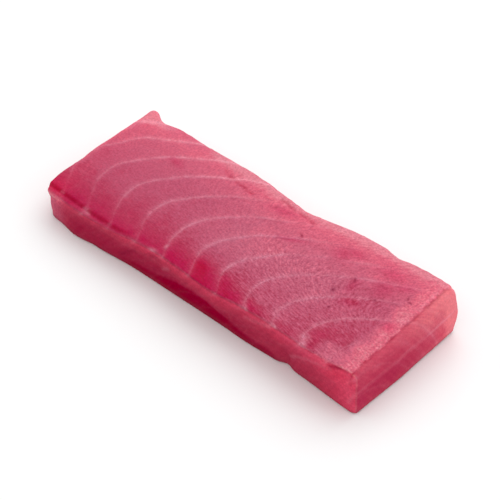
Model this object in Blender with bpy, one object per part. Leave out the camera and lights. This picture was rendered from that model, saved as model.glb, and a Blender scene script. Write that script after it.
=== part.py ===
"""Raw tuna steak: one oblong block cut from a tuna loin, lying on its largest face.

The block is a box with rounded edges whose faces are then bent to their real shape: the top slopes,
the far side has a waist, the near side is hollowed low down, and the far left corner ends in a small tip.
+X runs along the block to its thick end, +Y across it to the far side, and +Z up. The origin is under the
middle of the block, on the surface it lies on. Sizes are in millimetres, and the mesh is in metres.
"""

import math

import bmesh
import bpy
from mathutils import Vector
from mathutils.geometry import delaunay_2d_cdt

MM = 0.001

# Overall size
LENGTH = 191.0
WIDTH = 73.5
THICKNESS = 26.0

# The box before it is bent
HALF_LENGTH = 95.0
HALF_WIDTH = 33.2
BOX_HEIGHT = 21.1  # the mean thickness, at the middle of the top

# How far each edge lies outside the box (+) or inside it (-). A wave is (reach, middle, spread), and a step
# is (reach, start, end). They are placed by x along the two long sides, and by y along the two ends.
NEAR_FOOT = 0.4
NEAR_FOOT_WAVES = ((1.6, -73.0, 11.0), (0.8, -80.0, 4.5), (-0.5, -68.0, 3.0), (0.4, 29.0, 7.0),
                   (-1.0, 58.0, 11.0), (-1.6, 53.0, 2.5), (0.6, 92.0, 9.0))
NEAR_RIM_WAVES = ((1.1, -72.0, 13.0), (-0.9, -28.0, 10.0), (1.3, 9.0, 9.0), (1.3, 72.0, 14.0))
FAR_FOOT = 0.6
FAR_FOOT_WAVES = ((-2.3, 18.0, 20.0), (0.8, -58.0, 14.0), (0.5, 70.0, 10.0))
FAR_RIM = 1.0
FAR_RIM_TAPER = -0.006
FAR_RIM_STEPS = ((0.65, -87.0, -81.0),)
FAR_RIM_WAVES = ((-3.7, 13.0, 18.0), (-0.8, 12.0, 5.0), (0.9, 37.0, 12.0), (-1.3, 64.5, 3.8),
                 (0.7, -72.0, 6.0), (-0.8, -84.0, 3.5))
LEFT_END = -1.3
LEFT_STEPS = ((0.7, -31.0, -27.0), (1.3, -31.0, -14.0), (-0.8, 0.0, 20.0), (-1.2, 18.0, 32.0))
LEFT_WAVES = ((0.9, -22.0, 4.5), (0.45, 0.0, 4.0), (-0.4, 25.5, 3.5))
RIGHT_END = -1.65
RIGHT_WAVES = ((1.2, 6.0, 26.0),)

# How far each side bulges over its height, as a wave placed by the height share
NEAR_BELLY = (0.7, 0.62, 0.22)
FAR_BELLY = (0.8, 0.5, 0.25)
LEFT_BELLY = (0.3, 0.5, 0.25)
RIGHT_BELLY = (0.6, 0.4, 0.3)

# Places where a side changes both along itself and over its height
LEFT_LIP = (1.0, -33.0, 14.0)  # the top rim of the thin end reaches out near the near corner
LEFT_LIP_OVERHANG = 1.2  # how far that corner lies back below its top rim
FAR_END_BULGE = (0.9, 90.0, 8.0)
RIGHT_FOOT_SETBACK = 0.4  # the thick end's foot, in its far half
RIGHT_RIM_SETBACK = 0.3

# The top face slopes up to the thick end and to the far side
SLOPE_ALONG = 0.040
SLOPE_ACROSS = 0.055
CROWN = 0.5  # how far the middle of the top stands above a flat cut
FAR_ROLL = 0.7  # how far the top sinks towards the far side's rim
FAR_ROLL_WIDTH = 7.0
# Shallow dips in the top: the depth, then the middle and spread along x, and along y
SAGS = ((0.35, (14.0, 22.0), (26.0, 14.0)), (0.3, (-60.0, 30.0), (-8.0, 18.0)))

# Radii of the rounded edges
LEFT_RADIUS = 1.8
RIGHT_RADIUS = 3.6
NEAR_RADIUS = 1.6
FAR_RADIUS = 2.2
BOTTOM_RADIUS = 1.0
TOP_RADIUS = 1.7
TOP_RADIUS_AT_THICK_END = 3.2
THICK_END_STARTS = 78.0

# Radii, seen from above, of the two corners that are rounded more than the edges
THIN_NEAR_CORNER = 4.6
THICK_FAR_CORNER = 1.7
THICK_FAR_CORNER_ON_TOP = 4.2

# The rim strip, a lowered ledge along the near rim of the thin half
STRIP_WIDTH = 3.6
STRIP_NARROWS_TO = 1.2
STRIP_DROP = 0.7
STRIP_ENDS = -40.0
GROOVE_DEPTH = 0.5
GROOVE_HALF_WIDTH = 0.7
STRIP_SOFTNESS = 0.8
STRIP_STARTS = -90.0
STRIP_FADE_FROM = -52.0
STRIP_FADE_TO = -36.0

# The tip, a small pointed flap at the far left corner
TIP_REACH = 2.9
TIP_RISE = 1.3
TIP_AT = -92.4
TIP_HALF_WIDTH = 3.6
TIP_RISE_LENGTH = 4.5
TIP_RISE_WIDTH = 6.0

# The hollow along the foot of the near side
HOLLOW_DEPTH = 1.5
HOLLOW_HEIGHT = 0.27  # share of the thickness
HOLLOW_SPREAD = 0.16
HOLLOW_FROM = -48.0
HOLLOW_FROM_FADE = 9.0
HOLLOW_TO = 44.0
HOLLOW_TO_FADE = 12.0

# Grid: steps along, across and up the block, and steps on half of each rounded edge
STEPS_ALONG = 54
STEPS_ACROSS = 22
STEPS_UP = 7
ARC_STEPS = 2
BASE_SPACING = 9.0  # between the points that divide the flat base
BASE_GAP = 0.6  # the least distance from the base's rim to such a point, as a share of the spacing

# Raw tuna: a moist crimson flesh
FLESH_COLOUR = (0.56, 0.10, 0.16, 1.0)
FLESH_ROUGHNESS = 0.38


def bump(x, centre, spread):
    """A smooth hill of height 1 at centre."""
    return math.exp(-0.5 * ((x - centre) / spread) ** 2)


def ramp(x, start, end):
    """A smooth step from 0 at start to 1 at end."""
    t = min(max((x - start) / (end - start), 0.0), 1.0)
    return t * t * (3.0 - 2.0 * t)


def mix(a, b, share):
    return a + (b - a) * share


def waves(x, each):
    """The sum of some waves, each one a smooth hill given as (reach, middle, spread)."""
    return sum(reach * bump(x, middle, spread) for reach, middle, spread in each)


def steps(x, each):
    """The sum of some smooth steps, each one given as (reach, start, end)."""
    return sum(reach * ramp(x, start, end) for reach, start, end in each)


def corner_inset(distance, radius):
    """How far a corner rounded with this radius cuts in, at a distance from the side it runs into."""
    gap = min(max(radius - distance, 0.0), radius)
    return radius - math.sqrt(radius * radius - gap * gap)


def near_side(x, h):
    """How far the near side lies outside the box (+) or inside it (-), at height share h."""
    foot = NEAR_FOOT + waves(x, NEAR_FOOT_WAVES)
    rim = waves(x, NEAR_RIM_WAVES)
    starts = ramp(x, HOLLOW_FROM - HOLLOW_FROM_FADE, HOLLOW_FROM + HOLLOW_FROM_FADE)
    ends = ramp(x, HOLLOW_TO - HOLLOW_TO_FADE, HOLLOW_TO + HOLLOW_TO_FADE)
    hollow = HOLLOW_DEPTH * starts * (1 - ends) * bump(h, HOLLOW_HEIGHT, HOLLOW_SPREAD)
    return mix(foot, rim, ramp(h, 0.15, 0.9)) + waves(h, [NEAR_BELLY]) - hollow


def far_side(x, h):
    """How far the far side lies outside the box (+) or inside it (-), at height share h."""
    foot = FAR_FOOT + waves(x, FAR_FOOT_WAVES)
    rim = FAR_RIM + FAR_RIM_TAPER * x + steps(x, FAR_RIM_STEPS) + waves(x, FAR_RIM_WAVES)
    tip = TIP_REACH * bump(x, TIP_AT, TIP_HALF_WIDTH) * ramp(h, 0.55, 0.95)
    bulge = waves(x, [FAR_END_BULGE]) * bump(h, 0.4, 0.22)
    return mix(foot, rim, ramp(h, 0.1, 0.95)) + waves(h, [FAR_BELLY]) + tip + bulge


def left_end(y, h):
    """How far the thin end lies outside the box (+) or inside it (-), at height share h."""
    edge = LEFT_END + steps(y, LEFT_STEPS) + waves(y, LEFT_WAVES)
    corner = corner_inset(y + HALF_WIDTH, THIN_NEAR_CORNER)
    lip = waves(y, [LEFT_LIP]) * ramp(h, 0.72, 0.9)
    overhang = LEFT_LIP_OVERHANG * (1 - ramp(h, 0.8, 0.93)) * (1 - ramp(y, -31, -22))
    return edge - corner + lip - overhang + waves(h, [LEFT_BELLY])


def right_end(y, h):
    """How far the thick end lies outside the box (+) or inside it (-), at height share h."""
    edge = RIGHT_END + waves(y, RIGHT_WAVES)
    corner = corner_inset(HALF_WIDTH - y, mix(THICK_FAR_CORNER, THICK_FAR_CORNER_ON_TOP, ramp(h, 0.3, 1.0)))
    foot = RIGHT_FOOT_SETBACK * ramp(y, -5, 8) * (1 - ramp(h, 0.0, 0.35))
    rim = RIGHT_RIM_SETBACK * ramp(h, 0.5, 1.0)
    return edge - corner - foot - rim + waves(h, [RIGHT_BELLY])


def rim_strip(x, inset):
    """How far the top is lowered at x, inset from the near side, by the rim strip and its groove."""
    width = mix(STRIP_WIDTH, STRIP_NARROWS_TO, ramp(x, STRIP_STARTS, STRIP_ENDS))
    fade = 1 - ramp(x, STRIP_FADE_FROM, STRIP_FADE_TO)
    ledge = STRIP_DROP * (1 - ramp(inset, width - STRIP_SOFTNESS, width + STRIP_SOFTNESS))
    return fade * (ledge + GROOVE_DEPTH * bump(inset, width, GROOVE_HALF_WIDTH))


def thickness(x, y, inset_near, inset_far):
    """The height of the top face over the point x, y."""
    plane = BOX_HEIGHT + SLOPE_ALONG * x + SLOPE_ACROSS * y
    crown = CROWN * (1 - (x / HALF_LENGTH) ** 2) * (1 - (y / HALF_WIDTH) ** 2)
    sag = sum(depth * bump(x, *along) * bump(y, *across) for depth, along, across in SAGS)
    roll = FAR_ROLL * (1 - ramp(inset_far, 0, FAR_ROLL_WIDTH))
    tip = TIP_RISE * bump(x, TIP_AT, TIP_RISE_LENGTH) * bump(inset_far, 0, TIP_RISE_WIDTH)
    return plane + crown - sag - roll - rim_strip(x, inset_near) + tip


def top_radius(x):
    """The rounding of the top rim grows at the thick end."""
    return mix(TOP_RADIUS, TOP_RADIUS_AT_THICK_END, ramp(x, THICK_END_STARTS, HALF_LENGTH))


def stations(low, high, low_radius, high_radius, steps):
    """Grid positions from low to high: close together over each rounding and even between them."""
    arc = [math.tan(math.radians(45.0 * i / ARC_STEPS)) for i in range(1, ARC_STEPS + 1)]
    inner_low = low + low_radius
    inner_high = high - high_radius
    start = [inner_low - low_radius * t for t in reversed(arc)]
    middle = [mix(inner_low, inner_high, i / steps) for i in range(steps + 1)]
    end = [inner_high + high_radius * t for t in arc]
    return start + middle + end


def rounded(x, y, z):
    """The point of the rounded box that belongs to a point on the sharp box."""
    radius = Vector((
        LEFT_RADIUS if x < 0 else RIGHT_RADIUS,
        NEAR_RADIUS if y < 0 else FAR_RADIUS,
        BOTTOM_RADIUS if z < BOX_HEIGHT / 2 else top_radius(x),
    ))
    core = Vector((
        min(max(x, -HALF_LENGTH + radius.x), HALF_LENGTH - radius.x),
        min(max(y, -HALF_WIDTH + radius.y), HALF_WIDTH - radius.y),
        min(max(z, radius.z), BOX_HEIGHT - radius.z),
    ))
    away = Vector(((x - core.x) / radius.x, (y - core.y) / radius.y, (z - core.z) / radius.z))
    if away.length > 0:
        away.normalize()
    return core + Vector((away.x * radius.x, away.y * radius.y, away.z * radius.z))


def bent(point):
    """Moves a point of the rounded box to its place on the block."""
    h = point.z / BOX_HEIGHT
    along = (point.x + HALF_LENGTH) / (2 * HALF_LENGTH)
    across = (point.y + HALF_WIDTH) / (2 * HALF_WIDTH)
    x = mix(-HALF_LENGTH - left_end(point.y, h), HALF_LENGTH + right_end(point.y, h), along)
    y = mix(-HALF_WIDTH - near_side(point.x, h), HALF_WIDTH + far_side(point.x, h), across)
    top = thickness(x, y, point.y + HALF_WIDTH, HALF_WIDTH - point.y)
    return Vector((x, y, h * top))


class Surface:
    """The skin of the block as a grid on the six faces of a box."""

    def __init__(self):
        self.xs = stations(-HALF_LENGTH, HALF_LENGTH, LEFT_RADIUS, RIGHT_RADIUS, STEPS_ALONG)
        self.ys = stations(-HALF_WIDTH, HALF_WIDTH, NEAR_RADIUS, FAR_RADIUS, STEPS_ACROSS)
        self.levels = STEPS_UP + 2 * ARC_STEPS
        self.points = []
        self.faces = []
        self.index = {}

    def vertex(self, i, j, k):
        """The number of the grid point i along, j across and k up."""
        if (i, j, k) not in self.index:
            x = self.xs[i]
            z = stations(0.0, BOX_HEIGHT, BOTTOM_RADIUS, top_radius(x), STEPS_UP)[k]
            self.index[i, j, k] = len(self.points)
            self.points.append(bent(rounded(x, self.ys[j], z)))
        return self.index[i, j, k]

    def side(self, columns, rows, place):
        """Covers a face of the box with quads. place turns a column and a row into i, j and k."""
        for c in columns:
            for r in rows:
                corners = ((c, r), (c + 1, r), (c + 1, r + 1), (c, r + 1))
                self.faces.append([self.vertex(*place(*corner)) for corner in corners])

    def walls_and_top(self):
        last_i, last_j, last_k = len(self.xs) - 1, len(self.ys) - 1, self.levels
        along, across, up = range(last_i), range(last_j), range(last_k)
        self.side(along, across, lambda c, r: (c, r, last_k))
        self.side(along, up, lambda c, r: (c, 0, r))
        self.side(along, up, lambda c, r: (last_i - c, last_j, r))
        self.side(across, up, lambda c, r: (last_i, c, r))
        self.side(across, up, lambda c, r: (0, last_j - c, r))

    def base(self):
        """The rounded rim under the block, and the flat face inside it."""
        last_i, last_j = len(self.xs) - 1, len(self.ys) - 1
        for i in range(last_i):
            for j in range(last_j):
                on_rim_x = i < ARC_STEPS or i >= last_i - ARC_STEPS
                on_rim_y = j < ARC_STEPS or j >= last_j - ARC_STEPS
                if on_rim_x or on_rim_y:
                    corners = ((i, j), (i, j + 1), (i + 1, j + 1), (i + 1, j))
                    self.faces.append([self.vertex(a, b, 0) for a, b in corners])
        low_i, high_i, low_j, high_j = ARC_STEPS, last_i - ARC_STEPS, ARC_STEPS, last_j - ARC_STEPS
        loop = [(i, low_j) for i in range(low_i, high_i)]
        loop += [(high_i, j) for j in range(low_j, high_j)]
        loop += [(i, high_j) for i in range(high_i, low_i, -1)]
        loop += [(low_i, j) for j in range(high_j, low_j, -1)]
        self.fill([self.vertex(i, j, 0) for i, j in loop])

    def fill(self, loop):
        """Divides the flat face inside a loop of points into well-shaped triangles."""
        rim = [Vector((self.points[v].x, self.points[v].y)) for v in loop]
        inner = []
        for a in range(1, int(2 * HALF_LENGTH / BASE_SPACING)):
            for b in range(1, int(2 * HALF_WIDTH / BASE_SPACING)):
                spot = Vector((-HALF_LENGTH + (a + b % 2 / 2) * BASE_SPACING, -HALF_WIDTH + b * BASE_SPACING))
                if min((spot - p).length for p in rim) > BASE_SPACING * BASE_GAP:
                    inner.append(spot)
        edges = [(n, (n + 1) % len(rim)) for n in range(len(rim))]
        made = delaunay_2d_cdt(rim + inner, edges, [], 1, 1e-6)
        corners, triangles, origins = made[0], made[2], made[3]
        number = []
        for corner, origin in zip(corners, origins):
            if origin and origin[0] < len(loop):
                number.append(loop[origin[0]])
            else:
                number.append(len(self.points))
                self.points.append(Vector((corner.x, corner.y, 0.0)))
        for a, b, c in triangles:
            self.faces.append([number[c], number[b], number[a]])

    def fitted(self):
        """The points in metres, stretched to the overall size, with the origin under the middle."""
        low = Vector([min(p[axis] for p in self.points) for axis in range(3)])
        high = Vector([max(p[axis] for p in self.points) for axis in range(3)])
        size = (LENGTH, WIDTH, THICKNESS)
        stretch = [size[axis] / (high[axis] - low[axis]) for axis in range(3)]
        middle = Vector(((low.x + high.x) / 2, (low.y + high.y) / 2, 0.0))
        return [Vector([(p[a] - middle[a]) * stretch[a] for a in range(3)]) * MM for p in self.points]


def flesh_material():
    """The colour and the moist gloss of the cut flesh."""
    material = bpy.data.materials.new("tuna_flesh")
    material.use_nodes = True
    shader = material.node_tree.nodes["Principled BSDF"]
    shader.inputs["Base Color"].default_value = FLESH_COLOUR
    shader.inputs["Roughness"].default_value = FLESH_ROUGHNESS
    shader.inputs["Metallic"].default_value = 0.0
    return material


def tuna_steak():
    """The one piece: the whole block of flesh."""
    surface = Surface()
    surface.walls_and_top()
    surface.base()
    mesh = bpy.data.meshes.new("tuna_steak")
    mesh.from_pydata(surface.fitted(), [], surface.faces)
    work = bmesh.new()
    work.from_mesh(mesh)
    bmesh.ops.triangulate(work, faces=work.faces)
    work.to_mesh(mesh)
    work.free()
    mesh.materials.append(flesh_material())
    mesh.shade_smooth()
    steak = bpy.data.objects.new("tuna_steak", mesh)
    bpy.context.scene.collection.objects.link(steak)
    return steak


def main():
    for old in list(bpy.data.objects):
        bpy.data.objects.remove(old)
    tuna_steak()


main()
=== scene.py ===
# The looks of the raw tuna steak: the skin of the block as a fine mesh with the relief of cut flesh, its
# muscle seams, colours and moist gloss, a pale floor, soft light and the camera. The block is shaped as the
# CAD solid is, in the block's own millimetres, and then laid exactly in the solid's box.
# +X runs along the block to its thick end, +Y across it to the far side, and +Z up.
import math

import bpy
import numpy as np
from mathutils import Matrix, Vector
from mathutils.geometry import delaunay_2d_cdt


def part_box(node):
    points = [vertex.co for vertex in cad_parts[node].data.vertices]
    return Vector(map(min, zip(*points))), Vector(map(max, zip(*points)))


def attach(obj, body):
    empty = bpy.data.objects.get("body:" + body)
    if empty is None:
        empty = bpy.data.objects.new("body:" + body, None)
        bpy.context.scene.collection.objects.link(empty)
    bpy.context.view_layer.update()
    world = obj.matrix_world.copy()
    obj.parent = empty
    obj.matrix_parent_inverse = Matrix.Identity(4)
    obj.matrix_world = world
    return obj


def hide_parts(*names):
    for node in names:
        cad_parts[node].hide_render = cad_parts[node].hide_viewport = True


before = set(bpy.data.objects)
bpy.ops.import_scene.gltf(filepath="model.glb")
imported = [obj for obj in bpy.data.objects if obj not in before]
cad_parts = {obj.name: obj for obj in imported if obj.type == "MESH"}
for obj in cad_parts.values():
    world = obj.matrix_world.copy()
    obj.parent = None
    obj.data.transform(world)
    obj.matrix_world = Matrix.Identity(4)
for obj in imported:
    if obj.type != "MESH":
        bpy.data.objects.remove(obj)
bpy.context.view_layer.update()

MM = 0.001
NODE = "tuna_steak"

# The box before it is bent, as in the solid
HALF_LENGTH = 95.0
HALF_WIDTH = 33.2
BOX_HEIGHT = 21.1
SLOPE_ALONG = 0.040
SLOPE_ACROSS = 0.055
CROWN = 0.5
FAR_ROLL = 0.7
FAR_ROLL_WIDTH = 7.0
SAGS = ((0.35, (14.0, 22.0), (26.0, 14.0)), (0.3, (-60.0, 30.0), (-8.0, 18.0)))

# How far each edge lies outside the box (+) or inside it (-). A wave is (reach, middle, spread), and a step
# is (reach, start, end). They are placed by x along the two long sides, and by y along the two ends.
NEAR_FOOT = 0.4
NEAR_FOOT_WAVES = ((1.6, -73.0, 11.0), (0.8, -80.0, 4.5), (-0.5, -68.0, 3.0), (0.4, 29.0, 7.0),
                   (-1.0, 58.0, 11.0), (-1.6, 53.0, 2.5), (0.6, 92.0, 9.0))
NEAR_RIM_WAVES = ((1.1, -72.0, 13.0), (-0.9, -28.0, 10.0), (1.3, 9.0, 9.0), (1.3, 72.0, 14.0))
FAR_FOOT = 0.6
FAR_FOOT_WAVES = ((-2.3, 18.0, 20.0), (0.8, -58.0, 14.0), (0.5, 70.0, 10.0))
FAR_RIM = 1.0
FAR_RIM_TAPER = -0.006
FAR_RIM_STEPS = ((0.65, -87.0, -81.0),)
FAR_RIM_WAVES = ((-3.7, 13.0, 18.0), (-0.8, 12.0, 5.0), (0.9, 37.0, 12.0), (-1.3, 64.5, 3.8),
                 (0.7, -72.0, 6.0), (-0.8, -84.0, 3.5))
LEFT_END = -1.3
LEFT_STEPS = ((0.7, -31.0, -27.0), (1.3, -31.0, -14.0), (-0.8, 0.0, 20.0), (-1.2, 18.0, 32.0))
LEFT_WAVES = ((0.9, -22.0, 4.5), (0.45, 0.0, 4.0), (-0.4, 25.5, 3.5))
RIGHT_END = -1.65
RIGHT_WAVES = ((1.2, 6.0, 26.0),)

# How far each side bulges over its height, as a wave placed by the height share
NEAR_BELLY = (0.7, 0.62, 0.22)
FAR_BELLY = (0.8, 0.5, 0.25)
LEFT_BELLY = (0.3, 0.5, 0.25)
RIGHT_BELLY = (0.6, 0.4, 0.3)

# Places where a side changes both along itself and over its height
LEFT_LIP = (1.0, -33.0, 14.0)  # the top rim of the thin end reaches out near the near corner
LEFT_LIP_OVERHANG = 1.2  # how far that corner lies back below its top rim
FAR_END_BULGE = (0.9, 90.0, 8.0)
RIGHT_FOOT_SETBACK = 0.4  # the thick end's foot, in its far half
RIGHT_RIM_SETBACK = 0.3

# Radii of the rounded edges, and of the two corners that are rounded more, seen from above
LEFT_RADIUS = 1.8
RIGHT_RADIUS = 3.6
NEAR_RADIUS = 1.6
FAR_RADIUS = 2.2
BOTTOM_RADIUS = 1.0
TOP_RADIUS = 1.7
TOP_RADIUS_AT_THICK_END = 3.2
THICK_END_STARTS = 78.0
THIN_NEAR_CORNER = 4.6
THICK_FAR_CORNER = 1.7
THICK_FAR_CORNER_ON_TOP = 4.2

# The rim strip along the near rim of the thin half, the tip, and the hollow along the near side's foot
STRIP_WIDTH = 3.6
STRIP_NARROWS_TO = 1.2
STRIP_DROP = 0.7
STRIP_ENDS = -40.0
GROOVE_DEPTH = 0.5
GROOVE_HALF_WIDTH = 0.7
STRIP_SOFTNESS = 0.8
STRIP_STARTS = -90.0
STRIP_FADE_FROM = -52.0
STRIP_FADE_TO = -36.0
TIP_REACH = 2.9
TIP_RISE = 1.3
TIP_AT = -92.4
TIP_HALF_WIDTH = 3.6
TIP_RISE_LENGTH = 4.5
TIP_RISE_WIDTH = 6.0
HOLLOW_DEPTH = 1.5
HOLLOW_HEIGHT = 0.27
HOLLOW_SPREAD = 0.16
HOLLOW_FROM = -48.0
HOLLOW_FROM_FADE = 9.0
HOLLOW_TO = 44.0
HOLLOW_TO_FADE = 12.0

# Grid: steps along, across and up the block, and steps on half of each rounded edge
STEPS_ALONG = 340
STEPS_ACROSS = 158
STEPS_UP = 16
ARC_STEPS = 4
BASE_SPACING = 3.0

# Muscle seams, numbered from FIRST_SEAM: where along the block each one turns back, and the bend of its
# far branch. The turning point moves towards the near side from seam to seam.
FIRST_SEAM = -4
SEAM_PLACES = (-149.0, -131.0, -114.0, -96.0, -79.8, -61.7, -44.1, -25.2, -9.0, 7.4, 24.3, 42.3, 60.3, 77.6,
               95.0, 112.5, 130.0, 147.5)
SEAM_BENDS = (0.0235, 0.0238, 0.0240, 0.0245, 0.0250, 0.0256, 0.0272, 0.0288, 0.0293, 0.0290, 0.0292, 0.0308,
              0.0310, 0.0330, 0.0330, 0.0330, 0.0330, 0.0330)
SEAM_SPACING = 17.5
SEAM_TURN = -8.5
SEAM_TURN_STEP = -2.3
NEAR_BRANCH_LEAN = 0.75
NEAR_BRANCH_RADIUS = 12.0
NEAR_BRANCH_RADIUS_THICK = 4.5
SEAM_DIP = 1.5  # how far a seam moves along the block for each millimetre below the top
SPLIT_HEIGHT = 13.2  # the level seam that divides the block into an upper and a lower layer

# How clearly each seam shows on the top, from the near rim (first) to the far rim, at these places across.
# The rows start at seam FIRST_STRENGTH.
FIRST_STRENGTH = -1
STRENGTH_AT = (-30.0, -24.0, -17.0, -8.0, 1.0, 9.0, 15.0, 21.0, 27.0)
SEAM_STRENGTHS = (
    (0.15, 0.15, 0.30, 0.60, 0.70, 0.80, 1.00, 1.10, 1.00),
    (0.38, 0.12, 0.27, 0.70, 0.83, 0.85, 1.00, 1.00, 1.00),
    (0.35, 0.14, 0.58, 0.28, 0.65, 0.93, 1.05, 0.90, 1.10),
    (0.30, 0.16, 0.22, 0.32, 0.80, 0.77, 0.62, 0.35, 0.10),
    (0.27, 0.43, 0.70, 0.98, 1.15, 0.65, 0.70, 0.20, 0.30),
    (0.36, 0.25, 0.74, 0.88, 1.00, 1.10, 0.85, 0.15, 0.10),
    (0.08, 0.20, 0.40, 0.95, 0.95, 0.18, 0.32, 0.75, 0.30),
    (0.33, 0.15, 0.38, 0.75, 0.35, 0.60, 1.15, 0.60, 0.15),
    (0.38, 0.50, 0.50, 1.10, 0.65, 0.65, 0.30, 0.10, 0.00),
    (0.50, 0.05, 0.45, 0.97, 0.85, 0.85, 0.30, 0.10, 0.00),
)

# Where the seams wander: how far they are moved towards the thin end, at which x and y, and how widely
SEAM_WANDERS = (
    (2.8, -82.0, 20.5, 6.0, 5.0),
    (-1.0, -73.0, -26.0, 7.0, 6.0),
    (-1.0, -71.0, 9.0, 5.0, 4.0),
    (-0.8, -57.0, 3.0, 6.0, 4.0),
    (-1.0, -37.0, 3.0, 5.0, 4.0),
    (1.2, -20.0, -28.0, 6.0, 6.0),
    (0.7, -4.0, 12.0, 6.0, 6.0),
    (-0.8, -4.5, -5.0, 5.0, 5.0),
    (0.9, 29.0, 18.0, 8.0, 6.0),
    (-1.0, 14.0, -5.0, 6.0, 5.0),
    (0.5, 12.0, -28.0, 6.0, 5.0),
    (-1.0, 26.0, -25.0, 6.0, 4.0),
    (-0.6, 44.0, -20.0, 6.0, 8.0),
)


def bump(x, centre, spread):
    """A smooth hill of height 1 at centre."""
    return np.exp(-0.5 * ((x - centre) / spread) ** 2)


def ramp(x, start, end):
    """A smooth step from 0 at start to 1 at end."""
    t = np.clip((x - start) / (end - start), 0.0, 1.0)
    return t * t * (3.0 - 2.0 * t)


def mix(a, b, share):
    return a + (b - a) * share


def waves(x, each):
    """The sum of some waves, each one a smooth hill given as (reach, middle, spread)."""
    return sum(reach * bump(x, middle, spread) for reach, middle, spread in each)


def steps(x, each):
    """The sum of some smooth steps, each one given as (reach, start, end)."""
    return sum(reach * ramp(x, start, end) for reach, start, end in each)


def corner_inset(distance, radius):
    """How far a corner rounded with this radius cuts in, at a distance from the side it runs into."""
    gap = np.clip(radius - distance, 0.0, radius)
    return radius - np.sqrt(radius * radius - gap * gap)


def cell_value(cell, seed):
    """A fixed number from -1 to 1 for each corner of a lattice."""
    n = cell[..., 0] * 73856093 ^ cell[..., 1] * 19349663 ^ cell[..., 2] * 83492791 ^ seed * 2654435
    n = (n ^ (n >> 13)) * 1274126177 & 0x7FFFFFFF
    n = (n ^ (n >> 15)) * 668265263 & 0x7FFFFFFF
    return (n >> 7 & 0xFFFF) / 32767.5 - 1.0


def noise(points, size, seed=0):
    """Smooth noise from -1 to 1, with bumps of this size in millimetres, or of these three sizes."""
    scaled = points / size
    cell = np.floor(scaled).astype(np.int64)
    t = scaled - cell
    t = t * t * (3.0 - 2.0 * t)
    total = 0.0
    for corner in np.ndindex(2, 2, 2):
        share = np.prod(np.where(corner, t, 1.0 - t), axis=-1)
        total = total + share * cell_value(cell + np.array(corner), seed)
    return total


# ---------------------------------------------------------------- the shape of the block, as in the solid

def near_side(x, h):
    """How far the near side lies outside the box (+) or inside it (-), at height share h."""
    foot = NEAR_FOOT + waves(x, NEAR_FOOT_WAVES)
    rim = waves(x, NEAR_RIM_WAVES)
    starts = ramp(x, HOLLOW_FROM - HOLLOW_FROM_FADE, HOLLOW_FROM + HOLLOW_FROM_FADE)
    ends = ramp(x, HOLLOW_TO - HOLLOW_TO_FADE, HOLLOW_TO + HOLLOW_TO_FADE)
    hollow = HOLLOW_DEPTH * starts * (1 - ends) * bump(h, HOLLOW_HEIGHT, HOLLOW_SPREAD)
    return mix(foot, rim, ramp(h, 0.15, 0.9)) + waves(h, [NEAR_BELLY]) - hollow


def far_side(x, h):
    """How far the far side lies outside the box (+) or inside it (-), at height share h."""
    foot = FAR_FOOT + waves(x, FAR_FOOT_WAVES)
    rim = FAR_RIM + FAR_RIM_TAPER * x + steps(x, FAR_RIM_STEPS) + waves(x, FAR_RIM_WAVES)
    tip = TIP_REACH * bump(x, TIP_AT, TIP_HALF_WIDTH) * ramp(h, 0.55, 0.95)
    bulge = waves(x, [FAR_END_BULGE]) * bump(h, 0.4, 0.22)
    return mix(foot, rim, ramp(h, 0.1, 0.95)) + waves(h, [FAR_BELLY]) + tip + bulge


def left_end(y, h):
    """How far the thin end lies outside the box (+) or inside it (-), at height share h."""
    edge = LEFT_END + steps(y, LEFT_STEPS) + waves(y, LEFT_WAVES)
    corner = corner_inset(y + HALF_WIDTH, THIN_NEAR_CORNER)
    lip = waves(y, [LEFT_LIP]) * ramp(h, 0.72, 0.9)
    overhang = LEFT_LIP_OVERHANG * (1 - ramp(h, 0.8, 0.93)) * (1 - ramp(y, -31, -22))
    return edge - corner + lip - overhang + waves(h, [LEFT_BELLY])


def right_end(y, h):
    """How far the thick end lies outside the box (+) or inside it (-), at height share h."""
    edge = RIGHT_END + waves(y, RIGHT_WAVES)
    corner = corner_inset(HALF_WIDTH - y, mix(THICK_FAR_CORNER, THICK_FAR_CORNER_ON_TOP, ramp(h, 0.3, 1.0)))
    foot = RIGHT_FOOT_SETBACK * ramp(y, -5, 8) * (1 - ramp(h, 0.0, 0.35))
    rim = RIGHT_RIM_SETBACK * ramp(h, 0.5, 1.0)
    return edge - corner - foot - rim + waves(h, [RIGHT_BELLY])


def strip_width(x):
    return mix(STRIP_WIDTH, STRIP_NARROWS_TO, ramp(x, STRIP_STARTS, STRIP_ENDS))


def strip_fade(x):
    return 1 - ramp(x, STRIP_FADE_FROM, STRIP_FADE_TO)


def rim_strip(x, inset):
    """How far the top is lowered at x, inset from the near side, by the rim strip and its groove."""
    width = strip_width(x)
    ledge = STRIP_DROP * (1 - ramp(inset, width - STRIP_SOFTNESS, width + STRIP_SOFTNESS))
    return strip_fade(x) * (ledge + GROOVE_DEPTH * bump(inset, width, GROOVE_HALF_WIDTH))


def thickness(x, y, inset_near, inset_far):
    """The height of the top face over the point x, y."""
    plane = BOX_HEIGHT + SLOPE_ALONG * x + SLOPE_ACROSS * y
    crown = CROWN * (1 - (x / HALF_LENGTH) ** 2) * (1 - (y / HALF_WIDTH) ** 2)
    sag = sum(depth * bump(x, *along) * bump(y, *across) for depth, along, across in SAGS)
    roll = FAR_ROLL * (1 - ramp(inset_far, 0, FAR_ROLL_WIDTH))
    tip = TIP_RISE * bump(x, TIP_AT, TIP_RISE_LENGTH) * bump(inset_far, 0, TIP_RISE_WIDTH)
    return plane + crown - sag - roll - rim_strip(x, inset_near) + tip


def top_radius(x):
    """The rounding of the top rim grows at the thick end."""
    return mix(TOP_RADIUS, TOP_RADIUS_AT_THICK_END, ramp(x, THICK_END_STARTS, HALF_LENGTH))


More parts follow.
